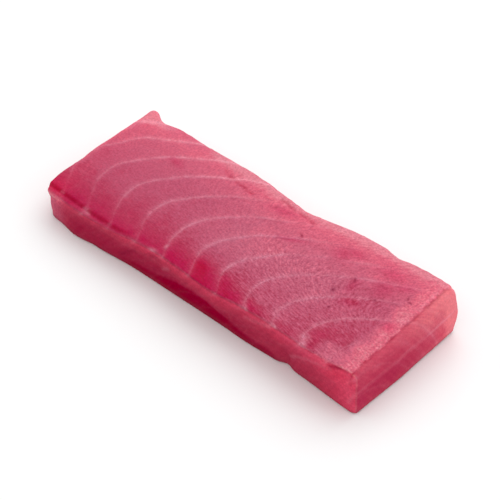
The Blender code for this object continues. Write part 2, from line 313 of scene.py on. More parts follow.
def stations(low, high, low_radius, high_radius, steps):
    """Grid positions from low to high: close together over each rounding and even between them."""
    arc = np.tan(np.radians(45.0 * np.arange(1, ARC_STEPS + 1) / ARC_STEPS))
    inner_low = low + low_radius
    inner_high = high - high_radius
    middle = np.linspace(inner_low, inner_high, steps + 1)
    return np.concatenate([inner_low - low_radius * arc[::-1], middle, inner_high + high_radius * arc])


def rounded(x, y, z):
    """The points of the rounded box that belong to points on the sharp box."""
    radius = np.stack([
        np.where(x < 0, LEFT_RADIUS, RIGHT_RADIUS),
        np.where(y < 0, NEAR_RADIUS, FAR_RADIUS),
        np.where(z < BOX_HEIGHT / 2, BOTTOM_RADIUS, top_radius(x)),
    ], axis=-1)
    sharp = np.stack([x, y, z], axis=-1)
    low = np.array([-HALF_LENGTH, -HALF_WIDTH, 0.0]) + radius
    high = np.array([HALF_LENGTH, HALF_WIDTH, BOX_HEIGHT]) - radius
    core = np.clip(sharp, low, high)
    away = (sharp - core) / radius
    length = np.linalg.norm(away, axis=-1, keepdims=True)
    return core + away / np.maximum(length, 1e-9) * radius


def bent(box_points):
    """Moves points of the rounded box to their places on the block."""
    x0, y0, z0 = box_points.T
    h = z0 / BOX_HEIGHT
    along = (x0 + HALF_LENGTH) / (2 * HALF_LENGTH)
    across = (y0 + HALF_WIDTH) / (2 * HALF_WIDTH)
    x = mix(-HALF_LENGTH - left_end(y0, h), HALF_LENGTH + right_end(y0, h), along)
    y = mix(-HALF_WIDTH - near_side(x0, h), HALF_WIDTH + far_side(x0, h), across)
    top = thickness(x, y, y0 + HALF_WIDTH, HALF_WIDTH - y0)
    return np.stack([x, y, h * top], axis=-1)


# ---------------------------------------------------------------- the grid and its mesh

class Skin:
    """The block's surface as a fine grid on the six faces of a box.

    box holds each point's place on the rounded box, points its place on the block, faces the polygons, and
    uv the place of each polygon's corners on a map where nothing overlaps."""

    MAP_SIZE = 196.0
    MAP_GAP = 3.0

    def __init__(self):
        self.xs = stations(-HALF_LENGTH, HALF_LENGTH, LEFT_RADIUS, RIGHT_RADIUS, STEPS_ALONG)
        self.ys = stations(-HALF_WIDTH, HALF_WIDTH, NEAR_RADIUS, FAR_RADIUS, STEPS_ACROSS)
        self.zs = np.stack([stations(0.0, BOX_HEIGHT, BOTTOM_RADIUS, top_radius(x), STEPS_UP) for x in self.xs])
        self.last = (len(self.xs) - 1, len(self.ys) - 1, self.zs.shape[1] - 1)
        self.quads = []
        self.quad_uvs = []
        self.walls_and_top()
        self.base_rim()
        self.weld()
        self.base_face()

    def side(self, columns, rows, place, flat, offset, keep=None):
        """Covers a face of the box with quads. place turns columns and rows into grid numbers i, j and k,
        flat says which two of the three axes it is laid out on, and offset is its corner on the map."""
        c, r = np.meshgrid(np.arange(columns + 1), np.arange(rows + 1), indexing="ij")
        i, j, k = np.broadcast_arrays(*place(c, r))
        last_i, last_j, last_k = self.last
        key = (i * (last_j + 1) + j) * (last_k + 1) + k
        spot = np.stack([self.xs[i], self.ys[j], self.zs[i, k]], axis=-1)[..., flat]
        spot = spot + np.array(offset)
        corners = [(slice(None, -1), slice(None, -1)), (slice(1, None), slice(None, -1)),
                   (slice(1, None), slice(1, None)), (slice(None, -1), slice(1, None))]
        quads = np.stack([key[a, b] for a, b in corners], axis=-1).reshape(-1, 4)
        uvs = np.stack([spot[a, b] for a, b in corners], axis=-2).reshape(-1, 4, 2)
        if keep is not None:
            kept = keep(c[:-1, :-1], r[:-1, :-1]).ravel()
            quads = quads[kept]
            uvs = uvs[kept]
        self.quads.append(quads)
        self.quad_uvs.append(uvs)

    def walls_and_top(self):
        i, j, k = self.last
        level = self.MAP_GAP + 2 * HALF_WIDTH + self.MAP_GAP
        step = BOX_HEIGHT + self.MAP_GAP
        left = HALF_LENGTH + self.MAP_GAP
        self.side(i, j, lambda c, r: (c, r, k), [0, 1], (left, HALF_WIDTH + self.MAP_GAP))
        self.side(i, k, lambda c, r: (c, 0, r), [0, 2], (left, level))
        self.side(i, k, lambda c, r: (i - c, j, r), [0, 2], (left, level + step))
        self.side(j, k, lambda c, r: (i, c, r), [1, 2], (HALF_WIDTH + self.MAP_GAP, level + 2 * step))
        second = 3 * HALF_WIDTH + 2 * self.MAP_GAP
        self.side(j, k, lambda c, r: (0, j - c, r), [1, 2], (second, level + 2 * step))

    def base_rim(self):
        """The rounded rim under the block, up to the flat face."""
        last_i, last_j, _ = self.last

        def on_rim(i, j):
            inside_x = (i >= ARC_STEPS) & (i < last_i - ARC_STEPS)
            inside_y = (j >= ARC_STEPS) & (j < last_j - ARC_STEPS)
            return ~(inside_x & inside_y)

        self.side(last_j, last_i, lambda c, r: (r, c, 0), [0, 1], (0, 0), lambda c, r: on_rim(r, c))

    def weld(self):
        """Numbers the grid points that are used, and puts each one on the block."""
        quads = np.concatenate(self.quads)
        keys, numbers = np.unique(quads, return_inverse=True)
        last_i, last_j, last_k = self.last
        k = keys % (last_k + 1)
        j = keys // (last_k + 1) % (last_j + 1)
        i = keys // (last_k + 1) // (last_j + 1)
        self.number_of = dict(zip(keys.tolist(), range(len(keys))))
        self.box = rounded(self.xs[i], self.ys[j], self.zs[i, k])
        self.points = bent(self.box)
        self.faces = numbers.reshape(-1, 4).tolist()
        uvs = np.concatenate(self.quad_uvs)
        rim_quads = len(self.quads[-1])
        uvs[-rim_quads:] = self.base_map(uvs[-rim_quads:])
        self.uvs = uvs.reshape(-1, 2).tolist()

    def base_map(self, places):
        """The base lies on the map at half size."""
        level = 2 * HALF_WIDTH + 5 * self.MAP_GAP + 3 * BOX_HEIGHT
        corner = np.array([HALF_LENGTH / 2 + self.MAP_GAP, HALF_WIDTH / 2 + level])
        return np.asarray(places) / 2 + corner

    def base_face(self):
        """Divides the flat face under the block into well-shaped triangles."""
        last_i, last_j, last_k = self.last
        low_i, high_i = ARC_STEPS, last_i - ARC_STEPS
        low_j, high_j = ARC_STEPS, last_j - ARC_STEPS
        loop = [(i, low_j) for i in range(low_i, high_i)]
        loop += [(high_i, j) for j in range(low_j, high_j)]
        loop += [(i, high_j) for i in range(high_i, low_i, -1)]
        loop += [(low_i, j) for j in range(high_j, low_j, -1)]
        numbers = [self.number_of[(i * (last_j + 1) + j) * (last_k + 1)] for i, j in loop]
        rim = self.points[numbers, :2]
        gx, gy = np.meshgrid(np.arange(-93.0, 93.0, BASE_SPACING), np.arange(-33.0, 34.0, BASE_SPACING))
        gx = gx + (np.arange(gx.shape[0]) % 2 * BASE_SPACING / 2)[:, None]
        inner = np.stack([gx.ravel(), gy.ravel()], axis=-1)
        gap = np.array([np.min(np.sum((rim - spot) ** 2, axis=1)) for spot in inner])
        inner = inner[gap > (0.4 * BASE_SPACING) ** 2]
        edges = [(n, (n + 1) % len(rim)) for n in range(len(rim))]
        made = delaunay_2d_cdt([Vector(p) for p in np.concatenate([rim, inner])], edges, [], 1, 1e-6)
        box = self.box.tolist()
        points = self.points.tolist()
        number = []
        for corner, origin in zip(made[0], made[3]):
            if origin and origin[0] < len(numbers):
                number.append(numbers[origin[0]])
            else:
                number.append(len(points))
                points.append([corner.x, corner.y, 0.0])
                box.append([corner.x, corner.y, 0.0])
        for a, b, c in made[2]:
            face = [number[c], number[b], number[a]]
            self.faces.append(face)
            self.uvs += self.base_map([points[n][:2] for n in face]).tolist()
        self.points = np.array(points)
        self.box = np.array(box)

    def mesh(self, name):
        mesh = bpy.data.meshes.new(name)
        mesh.from_pydata(self.points.tolist(), [], self.faces)
        layer = mesh.uv_layers.new(name="OFBake")
        layer.data.foreach_set("uv", (np.array(self.uvs, np.float32) / self.MAP_SIZE).ravel())
        mesh.shade_smooth()
        return mesh


# ---------------------------------------------------------------- the muscle seams

SEAM_NUMBERS = FIRST_SEAM + np.arange(len(SEAM_PLACES))


def seam_reach(number, y):
    """How far along the block a seam lies at y, for any number between seams too."""
    place = np.interp(number, SEAM_NUMBERS, SEAM_PLACES)
    bend = np.interp(number, SEAM_NUMBERS, SEAM_BENDS)
    across = y - SEAM_TURN - SEAM_TURN_STEP * number
    radius = mix(NEAR_BRANCH_RADIUS, NEAR_BRANCH_RADIUS_THICK, ramp(number, 3.0, 5.5))
    near = NEAR_BRANCH_LEAN * (np.sqrt(np.minimum(across, 0.0) ** 2 + radius ** 2) - radius)
    return place + bend * np.maximum(across, 0.0) ** 2 + near


def seam_number(points):
    """The number of the seam through each point: a whole number on a seam, and a part between two."""
    x, y, z = points.T
    depth = BOX_HEIGHT + SLOPE_ALONG * x + SLOPE_ACROSS * y - z
    along = x + SEAM_DIP * depth + 0.6 * noise(points, 9.0, 1) + 0.25 * noise(points, 3.5, 2)
    for reach, at_x, at_y, spread_x, spread_y in SEAM_WANDERS:
        along = along + reach * bump(x, at_x, spread_x) * bump(y, at_y, spread_y)
    number = (along - SEAM_PLACES[-FIRST_SEAM]) / SEAM_SPACING
    for _ in range(30):
        number = number + (along - seam_reach(number, y)) / (SEAM_SPACING + 2.5)
    return number


def seam_strength(number, y):
    """How clearly the seam of this number shows at y, for any number between seams too."""
    rows = np.stack([np.interp(y, STRENGTH_AT, row) for row in SEAM_STRENGTHS])
    place = np.clip(number - FIRST_STRENGTH, 0.0, len(rows) - 1.001)
    lower = place.astype(int)
    each = np.arange(len(y))
    return mix(rows[lower, each], rows[lower + 1, each], place - lower)


def seam_rate(points, normals):
    """How fast the seam number changes over the surface, in seams for each millimetre."""
    step = 0.1
    slope = np.zeros_like(points)
    for axis in range(3):
        shift = np.zeros(3)
        shift[axis] = step
        slope[:, axis] = (seam_number(points + shift) - seam_number(points - shift)) / (2 * step)
    slope = slope - np.sum(slope * normals, axis=1, keepdims=True) * normals
    return np.maximum(np.linalg.norm(slope, axis=1), 0.004)


# ---------------------------------------------------------------- where each kind of flesh shows

# Small marks on the top, as x, y, half length, half width and how far they are turned, in degrees
DARK_SPECKS = (
    (19.7, 16.0, 1.0, 0.45, -35),
    (52.7, -1.1, 0.8, 0.6, -60),
    (56.4, 9.2, 1.0, 0.4, -52),
    (57.8, -9.7, 0.5, 0.4, 0),
    (70.7, 5.3, 0.6, 0.4, 0),
    (81.6, 14.8, 0.8, 0.3, -60),
    (83.4, 13.2, 0.8, 0.3, 10),
)
RED_PATCHES = (
    (-58.5, 16.8, 3.4, 1.4, -15),
    (42.0, 18.8, 3.4, 3.2, 20),
    (46.0, 22.0, 4.0, 1.8, 0),
    (63.0, -2.4, 3.6, 1.7, 20),
    (57.5, 6.5, 1.6, 3.2, 0),
    (69.5, 13.0, 4.0, 4.5, 15),
    (67.0, 22.0, 5.5, 2.8, 0),
    (76.0, 19.0, 4.0, 2.0, 30),
    (85.2, -3.0, 2.2, 2.0, 0),
    (3.0, 22.5, 5.0, 1.8, 10),
    (17.0, 11.0, 5.0, 1.1, 25),
    (-2.0, -26.0, 4.0, 2.2, -30),
)
# Pale spots on the top; the small one at x -23, y -26.4 is a painted highlight
PALE_SPOTS_AND_HIGHLIGHT = (
    (-67.5, -32.0, 1.5, 1.0, -20),
    (-27.0, -32.2, 1.6, 0.8, 20),
    (-23.0, -26.4, 0.6, 1.0, 0),
    (31.0, -33.6, 0.6, 2.4, 40),
    (47.0, -33.4, 1.2, 0.8, -40),
    (61.6, -29.6, 1.6, 1.6, 0),
    (63.6, -33.0, 1.0, 2.2, 35),
    (8.0, -17.6, 0.7, 1.6, 0),
)

# Tears and dark lines, as points on the top
TEARS = (
    ((-36.6, 27.2), (-34.8, 25.4), (-32.2, 24.7), (-29.8, 25.0)),
    ((-3.2, 28.7), (0.6, 27.8), (5.6, 26.4)),
    ((10.0, 26.4), (14.0, 25.9), (18.4, 25.2)),
    ((-27.0, 23.7), (-22.0, 23.1), (-16.0, 22.6)),
)
DARK_LINES = (
    ((-1.0, 12.4), (3.5, 14.8), (8.2, 17.2)),
    ((10.6, 7.2), (13.6, 8.8), (17.2, 10.8)),
)
TIP_EDGE = ((-93.6, 19.0), (-92.2, 25.0), (-89.6, 29.4), (-86.0, 31.2), (-80.5, 31.8), (-77.0, 33.2))

# Marks on the near side, as x and z
RIM_CREASES = (((-45.0, 4.6), (-40.5, 9.5), (-36.0, 12.4)), ((-27.0, 14.6), (-25.0, 15.4), (-23.0, 15.6)))
NICK = ((79.4, 20.2), (82.0, 21.6), (84.5, 22.4), (88.0, 22.9))
WISPS = (
    ((-19.0, 11.9), (-17.6, 13.4), (-15.6, 14.4)),
    ((56.0, 8.5), (60.0, 12.5), (67.0, 16.4), (80.0, 19.2)),
    ((31.0, 16.0), (38.0, 18.0), (45.0, 19.2)),
    ((92.8, 20.6), (91.2, 19.6), (89.6, 17.4)),
    ((93.2, 13.0), (91.8, 9.6), (90.2, 5.5)),
)


class Zones:
    """Masks, mostly from 0 to 1, for each point of the skin."""

    def __init__(self, points, normals, box):
        self.x, self.y, self.z = points.T
        self.points = points
        self.inset_near = box[:, 1] + HALF_WIDTH
        self.h = box[:, 2] / BOX_HEIGHT
        self.border = 90.4 + 0.5 * noise(points, 2.2, 30) + 0.3 * noise(points, 0.9, 31)
        up = ramp(normals[:, 2], 0.35, 0.8)
        past_border = ramp(self.x, self.border - 0.3, self.border + 0.3)
        self.top = up * (1 - past_border)
        self.base = ramp(-normals[:, 2], 0.6, 0.95)
        self.near = ramp(-normals[:, 1], 0.45, 0.85)
        self.far = ramp(normals[:, 1], 0.45, 0.85)
        self.right = np.maximum(ramp(normals[:, 0], 0.45, 0.85), up * past_border)
        self.left = ramp(-normals[:, 0], 0.45, 0.85)
        self.number = seam_number(points)
        self.rate = seam_rate(points, normals)
        self.across = self.y - SEAM_TURN - SEAM_TURN_STEP * self.number
        wobble = 0.35
        self.plan_x = self.x + wobble * noise(points, 2.6, 32)
        self.plan_y = self.y + wobble * noise(points, 2.6, 33)
        self.plan_z = self.z + wobble * noise(points, 2.6, 34)

    def spots(self, marks):
        """Soft oval marks on the top."""
        total = 0.0 * self.x
        for x, y, half_length, half_width, turn in marks:
            angle = math.radians(turn)
            dx = self.plan_x - x
            dy = self.plan_y - y
            along = dx * math.cos(angle) + dy * math.sin(angle)
            across = dy * math.cos(angle) - dx * math.sin(angle)
            total = np.maximum(total, np.exp(-0.5 * ((along / half_length) ** 2 + (across / half_width) ** 2)))
        return total * self.top

    def stroke(self, line, width, side=False):
        """A soft line on the top, or on the near side."""
        a = self.plan_x
        b = self.plan_z if side else self.plan_y
        nearest = np.full_like(a, 1e3)
        for (a0, b0), (a1, b1) in zip(line[:-1], line[1:]):
            share = ((a - a0) * (a1 - a0) + (b - b0) * (b1 - b0)) / ((a1 - a0) ** 2 + (b1 - b0) ** 2)
            share = np.clip(share, 0.0, 1.0)
            nearest = np.minimum(nearest, np.hypot(a - mix(a0, a1, share), b - mix(b0, b1, share)))
        return bump(nearest, 0.0, width) * (self.near if side else self.top)

    def groove(self):
        """The groove beside the rim strip, as dashes between the seams that cross it."""
        middle = strip_width(self.x) + 0.3 + 0.2 * ramp(self.x, -90, -70)
        line = bump(self.inset_near, middle, 0.6) * strip_fade(self.x) * ramp(self.h, 0.9, 0.97)
        part = self.number - np.floor(self.number)
        dash = ramp(np.minimum(part, 1 - part) / self.rate, 0.9, 1.8)
        return line * dash * (0.85 + 0.3 * noise(self.points, 3.0, 38))

    def strip(self):
        """The strip between the groove and the near rim."""
        across = 1 - ramp(self.inset_near, strip_width(self.x) - 1.0, strip_width(self.x))
        return across * strip_fade(self.x) * ramp(self.h, 0.9, 0.97)

    def near_rim(self):
        """The rounded rim between the top and the near side."""
        return bump(self.inset_near, 0.2, 0.9) * ramp(self.h, 0.86, 0.95)

    def crumbs(self):
        """The coarse, crumbly stretch of the top beside the thick end."""
        edge = 79.0 + 3.0 * noise(self.points, 7.0, 5)
        beside = ramp(self.x, edge, edge + 7.0)
        last_flake = 0.7 * ramp(self.x, 66, 74) * (1 - ramp(self.y, -27, -23))
        patch = 0.45 * bump(self.x, 68, 12) * bump(self.y, 24, 8)
        return self.top * np.clip(np.maximum(np.maximum(beside, last_flake), patch), 0, 1)

    def fibres(self):
        """Where the cut ends of the muscle fibres show as hatching."""
        along = ramp(self.x, 0, 24) * (1 - ramp(self.x, 70, 84))
        across = ramp(self.y, -40, -27) * (1 - ramp(self.y, -4, 14))
        calm = 0.25 + 0.25 * ramp(self.x, -60, -20)
        patchy = 0.85 + 0.45 * noise(self.points, 6.0, 40)
        return self.top * np.clip(calm + along * across * patchy, 0, 1)

    def wet(self):
        """Deep crimson stretches, where the flesh is smooth and wet."""
        x, y = self.x, self.y
        edge = np.interp(x, (-90, -45, -20, -8, 0, 10, 20, 27, 40, 60),
                         (-30.5, -30, -26, -24, -23.2, -23, -25, -27, -29.5, -31.5))
        rim = 1 - ramp(y, edge - 3.2, edge + 3.2)
        depth = np.interp(x, (-45, -25, -8, 0, 12, 34, 48, 60), (0.1, 0.35, 0.5, 0.76, 0.60, 0.68, 0.6, 0.3))
        streak = 0.9 * self.spots(((67.0, -24.0, 5.5, 3.2, 25), (75.5, -19.5, 4.0, 2.2, 20)))
        return self.top * np.clip(rim * depth + streak, 0, 1)

    def tone_on_top(self):
        x, y = self.x, self.y
        tone = np.interp(y, (-33, -26, -18, -8, 4, 14, 22, 27, 31), (0.11, 0.21, 0.34, 0.45, 0.50, 0.62, 0.70, 0.84, 1.0))
        # The middle of the top is paler and greyer: partly the flesh's own colour and partly a painted sheen
        middle = ramp(x, -35, 8) * (1 - ramp(x, 46, 62))
        tone = tone + 0.26 * middle * bump(y, -3, 11)
        tone = tone + 0.25 * ramp(x, 18, 50) * bump(y, -29, 8) + 0.05 * bump(x, -44, 14) * bump(y, -26, 4)
        tone = tone - 0.08 * bump(x, 62, 6) * bump(y, -29, 4) + 0.12 * bump(x, 28, 10) * bump(y, -25, 3)
        tone = tone + 0.25 * (1 - ramp(x, -95.5, -91.5)) * ramp(y, -14, -8) + 0.02
        tone = tone + 0.08 * bump(x, 14, 20) * ramp(y, 12, 20) + 0.08 * bump(x, 62, 7) * bump(y, -9, 6)
        tone = tone - 0.26 * bump(x, 76, 5) * bump(y, -31, 4) - 0.18 * bump(x, -64, 12) * ramp(y, 26, 31)
        tone = tone + 0.10 * bump(x, 9, 9) * bump(y, 5, 6) - 0.08 * bump(x, 76, 5) * bump(y, -22, 4)
        tone = mix(tone, np.maximum(tone, 0.92), self.crumbs())
        beyond_tip = 0.30 * bump(x, -92, 4) * ramp(y, 27, 31)
        return tone + beyond_tip - 0.10 * self.spots(RED_PATCHES) + 0.06 * self.strip()

    def pocket(self):
        """The deep crimson stretch low on the near side, over the hollow: partly the flesh's own colour and partly
        painted shade in the hollow.
        """
        x = self.x
        z = self.h * BOX_HEIGHT + 0.8 * noise(self.points, np.array([14.0, 14.0, 5.0]), 35)
        pocket_top = np.interp(x, (-48, -40, -25, -14, 0, 9, 14, 24, 34, 44, 52),
                               (2.0, 3.6, 4.8, 8.6, 13.0, 12.4, 7.4, 5.0, 3.2, 3.0, 1.0))
        depth = 1 - ramp(z, pocket_top - 1.5, pocket_top + 2.0)
        return self.near * depth * ramp(x, -50, -38) * (1 - ramp(x, 44, 54))

    def foot(self):
        """Painted shade: the lowest rim of the sides, greyed and darkened as the contact shade where the block
        lies on the floor.
        """
        return (self.near + self.right + self.left) * (1 - ramp(self.z, 0.8, 3.2))

    def tone_on_side(self):
        x = self.x
        z = self.h * BOX_HEIGHT + 0.8 * noise(self.points, np.array([14.0, 14.0, 5.0]), 35)
        low = np.interp(x, (-95, -88, -80, -72, -20, 14, 30, 45, 60, 70, 78, 84, 90),
                        (0.78, 0.62, 0.48, 0.30, 0.28, 0.36, 0.42, 0.48, 0.50, 0.56, 0.68, 0.80, 0.95))
        high = np.interp(x, (-95, -88, -80, -70, -56, -40, 0, 45, 62, 75, 90),
                         (1.05, 0.85, 0.72, 0.58, 0.58, 0.68, 0.72, 0.72, 0.88, 1.0, 1.08))
        # Darker low on the near side than at its top rim: partly the flesh's own colour and partly painted shade,
        # as the light falls from above
        tone = mix(low, high, ramp(z, 11.5, 20.0))
        upright = noise(self.points, np.array([1.3, 1.3, 14.0]), 37)
        upright = 0.12 * upright * (1 - ramp(x, -88, -74) * (1 - ramp(x, 86, 92)))
        wet_rim = 0.22 * bump(x, 84, 4) * bump(z, 19, 2.2)
        return mix(tone, 0.0, self.pocket()) + upright - wet_rim

    def tone_on_end(self):
        y, z = self.y, self.z
        heights = (2, 6, 10, 15, 20, 24)
        near_part = np.interp(z, heights, (0.26, 0.12, 0.04, 0.23, 0.38, 0.56))
        far_part = np.interp(z, heights, (0.70, 0.60, 0.74, 0.86, 0.95, 1.05))
        far_edge = 0.36 * ramp(y, 22, 30)
        far_rim = -0.12 * bump(y, 24, 4) * bump(z, 20, 3)
        return mix(near_part, far_part, ramp(y, -14, 33)) + far_edge + far_rim

    def tone(self):
        """The tone of the flesh: 0 is deep crimson, and 1 is pale salmon."""
        far = 0.30 + 0.35 * ramp(self.z, 9, 17)
        left = 0.45 + 0.35 * ramp(self.y, -30, 30)
        base = 0.25 + 0.0 * self.x
        parts = ((self.top, self.tone_on_top()), (self.near, self.tone_on_side()), (self.far, far),
                 (self.right, self.tone_on_end()), (self.left, left), (self.base, base))
        weight = sum(share for share, _ in parts)
        tone = sum(share * tone for share, tone in parts) / np.maximum(weight, 1e-6)
        # Painted highlight: the rounded near rim is painted paler, most of all at the thin end
        rim_tone = 0.08 + 0.08 * ramp(self.x, -52, -40) + 0.20 * (1 - ramp(self.x, -86, -79))
        return tone + self.near_rim() * (rim_tone - 0.14 * bump(self.x, 3, 8))

    def side(self):
        """1 on the long sides and the base, which are cut along the flesh and stay deeper in colour."""
        dull_corner = 0.85 * (1 - ramp(self.x, -90, -77))
        return np.clip(self.near * (1 - dull_corner) + self.far + self.base, 0, 1)

    def end(self):
        return np.clip(self.right + self.left, 0, 1)

    def border_tear(self):
        """The ragged edge between the top and the thick end."""
        return bump(self.x, self.border + 0.2, 0.5) * (1 - ramp(self.y, 30, 32)) * ramp(self.z, 15, 18)

    def blood_and_crease_shade(self):
        """Dark red marks: blood specks and lines on the top and the ragged border, and painted shade darkening the
        nick and the creases of the near side.
        """
        marks = self.spots(DARK_SPECKS)
        for line in DARK_LINES:
            marks = marks + 0.3 * self.stroke(line, 0.35)
        torn = np.clip(noise(self.points, np.array([3.0, 3.4, 6.0]), 8) + 0.15, 0, 1) * 1.5
        torn = torn + 0.6 * bump(self.y, 22, 4)
        border = self.border_tear() * torn
        # Painted shade: the nick and the creases on the near side are darkened
        nick = self.stroke(NICK, 0.7, side=True)
        crease = sum(0.45 * self.stroke(line, 0.7, side=True) for line in RIM_CREASES)
        return np.clip(marks + 0.25 * border + 0.35 * nick + crease, 0, 1)

    def tears(self):
        """Bright red tears, and the red dashes in the groove."""
        torn = sum(self.stroke(line, 0.6) for line in TEARS)
        torn = torn * (0.6 + 0.5 * noise(self.points, 2.4, 39))
        nick = 0.7 * self.stroke(NICK, 0.8, side=True)
        border = self.border_tear() * (0.45 + 0.35 * noise(self.points, 4.0, 41))
        return np.clip(0.7 * torn + 1.1 * self.groove() + nick + border, 0, 1)

    def wisps(self):
        """Thin pale lines on the near side, the pale edge of the tip, and a pale rim beside the border."""
        lines = sum(0.3 * self.stroke(line, 0.6, side=True) for line in WISPS)
        edge = bump(self.x, self.border - 1.7, 0.6) * self.top * bump(self.y, 20, 6)
        return np.clip(lines + 0.5 * self.stroke(TIP_EDGE, 0.8) + 0.4 * edge, 0, 1)

    def grain(self):
        """How strongly the fine grain of the flesh shows."""
        on_top = 0.26 + 0.06 * ramp(self.x, -45, 10)
        dry_corner = 0.15 * (1 - ramp(self.x, -90, -76))
        sides = self.near + self.far + self.base
        total = self.top * on_top + sides * (0.26 + dry_corner) + 0.20 * self.end()
        return total / np.maximum(self.top + sides + self.right + self.left, 1.0)

    def glow(self):
        """Painted light: where light would come through the flesh, it is painted redder (+): the thin end, the
        thick border and the rims.
        The middle of the top is a little duller (-): partly its own colour and partly a painted sheen."""
        thin_end = 0.45 * (1 - ramp(self.x, -92, -76)) + 0.6 * bump(self.x, -91, 5) * bump(self.y, -30, 3)
        border = ramp(self.x, 80, 89) * (0.14 + 0.16 * ramp(self.y, 0, 16))
        middle = -0.42 * ramp(self.x, -20, 0) * (1 - ramp(self.x, 50, 62)) * bump(self.y, -2, 9)
        far_band = 0.20 * bump(self.y, 22, 5)
        near_rim = 0.5 * bump(self.x, 84, 5) * bump(self.z, 19, 3) * self.near
        near_rim = near_rim - 0.4 * bump(self.x, 62, 6) * bump(self.z, 18, 3) * self.near
        end_spot = 0.35 * bump(self.y, 24, 4) * bump(self.z, 9, 5) * self.right
        thin_part = 0.2 * bump(self.x, -74, 9) * bump(self.y, 8, 9)
        return self.top * (thin_end + border + middle + far_band + thin_part) + near_rim + end_spot

    def flush(self):
        """Where the flesh is a purer red (+): patches on the top, and a place low on the thick end. The near
        rim is pinker (-), as part of its painted highlight."""
        on_end = 0.5 * bump(self.y, 21, 4) * bump(self.z, 6.5, 3) * self.right
        return self.spots(RED_PATCHES) + on_end - 0.3 * self.near_rim()

    def seams(self):
        """How clearly the seams show. On the end, one arc of them is clearer than the others."""
        strength = seam_strength(self.number, self.y) * (1 - ramp(self.number, 8.4, 8.7))
        uneven = 1 + 0.25 * noise(self.points, 12.0, 3)
        on_top = self.top * uneven * strength * (1 - 0.65 * self.crumbs())
        main_arc = 0.16 + 0.30 * bump(self.y + 0.68 * self.z, 23.3, 4)
        on_near = 0.06 + 0.34 * ramp(self.h, 0.84, 0.98)
        sides = main_arc * self.right + on_near * self.near + 0.12 * self.left + 0.25 * self.far + 0.4 * self.base
        return np.clip(on_top + sides, 0, 1)

    def shoulder(self):
        """Where the seams turn, and lie thick and pale."""
        return self.top * bump(self.across, 2.0, 8.0) * ramp(self.number, -0.5, 1.5) * (1 - 0.6 * self.crumbs())

    def split(self):
        """The level seam on the sides."""
        height = SPLIT_HEIGHT + (1.0 + 0.02 * self.y) * self.right + 0.35 * noise(self.points, 8.0, 4)
        line = bump(self.z, height, 0.45) * (0.8 + 0.3 * noise(self.points, 5.0, 36))
        on_end = 0.42 + 0.75 * bump(self.y, 26, 5)
        return line * (on_end * self.right + 0.05 * self.near + 0.35 * self.far + 0.3 * self.left)


def relief(zones, points):
    """How far the surface stands out (+) or in (-) at each point, in millimetres."""
    x, y, z = points.T
    off_base = ramp(z, 0.0, 3.0)
    part = zones.number - np.floor(zones.number)
    flake = -0.12 * (1 - part) ** 2 * (1 - np.exp(-part * 22.0)) * zones.seams()
    turned = np.stack([x * 0.966 - y * 0.259, x * 0.259 + y * 0.966, z], axis=-1)
    hatch = 0.07 * noise(turned, np.array([6.0, 1.25, 40.0]), 11) * zones.fibres()
    crumbs = zones.crumbs() * (0.04 * noise(points, np.array([3.2, 1.8, 1.8]), 12) + 0.04 * noise(points, 1.2, 13))
    waves = 0.16 * noise(points, 12.0, 14) + 0.08 * noise(points, 5.0, 15) + 0.03 * noise(points, 1.8, 16)
    rim = zones.top * (1 - zones.top) * 4 * 0.25 * noise(points, 2.4, 17)
    streaks = 0.12 * noise(points, np.array([14.0, 14.0, 2.4]), 18) * (zones.near + zones.far)
    split = -0.18 * zones.split()
    border = -0.35 * bump(x, zones.border + 0.3, 0.6) * ramp(z, 15, 18)
    tears = sum(zones.stroke(line, 0.6) for line in TEARS)
    cuts = -0.35 * tears - 0.5 * zones.stroke(NICK, 0.9, side=True) 
    cuts = cuts - 0.3 * sum(zones.stroke(line, 0.8, side=True) for line in RIM_CREASES)
    return off_base * (flake + hatch + crumbs + waves + rim + streaks + split + border + cuts)


# ---------------------------------------------------------------- the material

def linear(red, green, blue):
    """A colour given as bytes, as linear light."""
    def channel(value):
        share = value / 255
        return share / 12.92 if share <= 0.04045 else ((share + 0.055) / 1.055) ** 2.4
    return (channel(red), channel(green), channel(blue), 1.0)


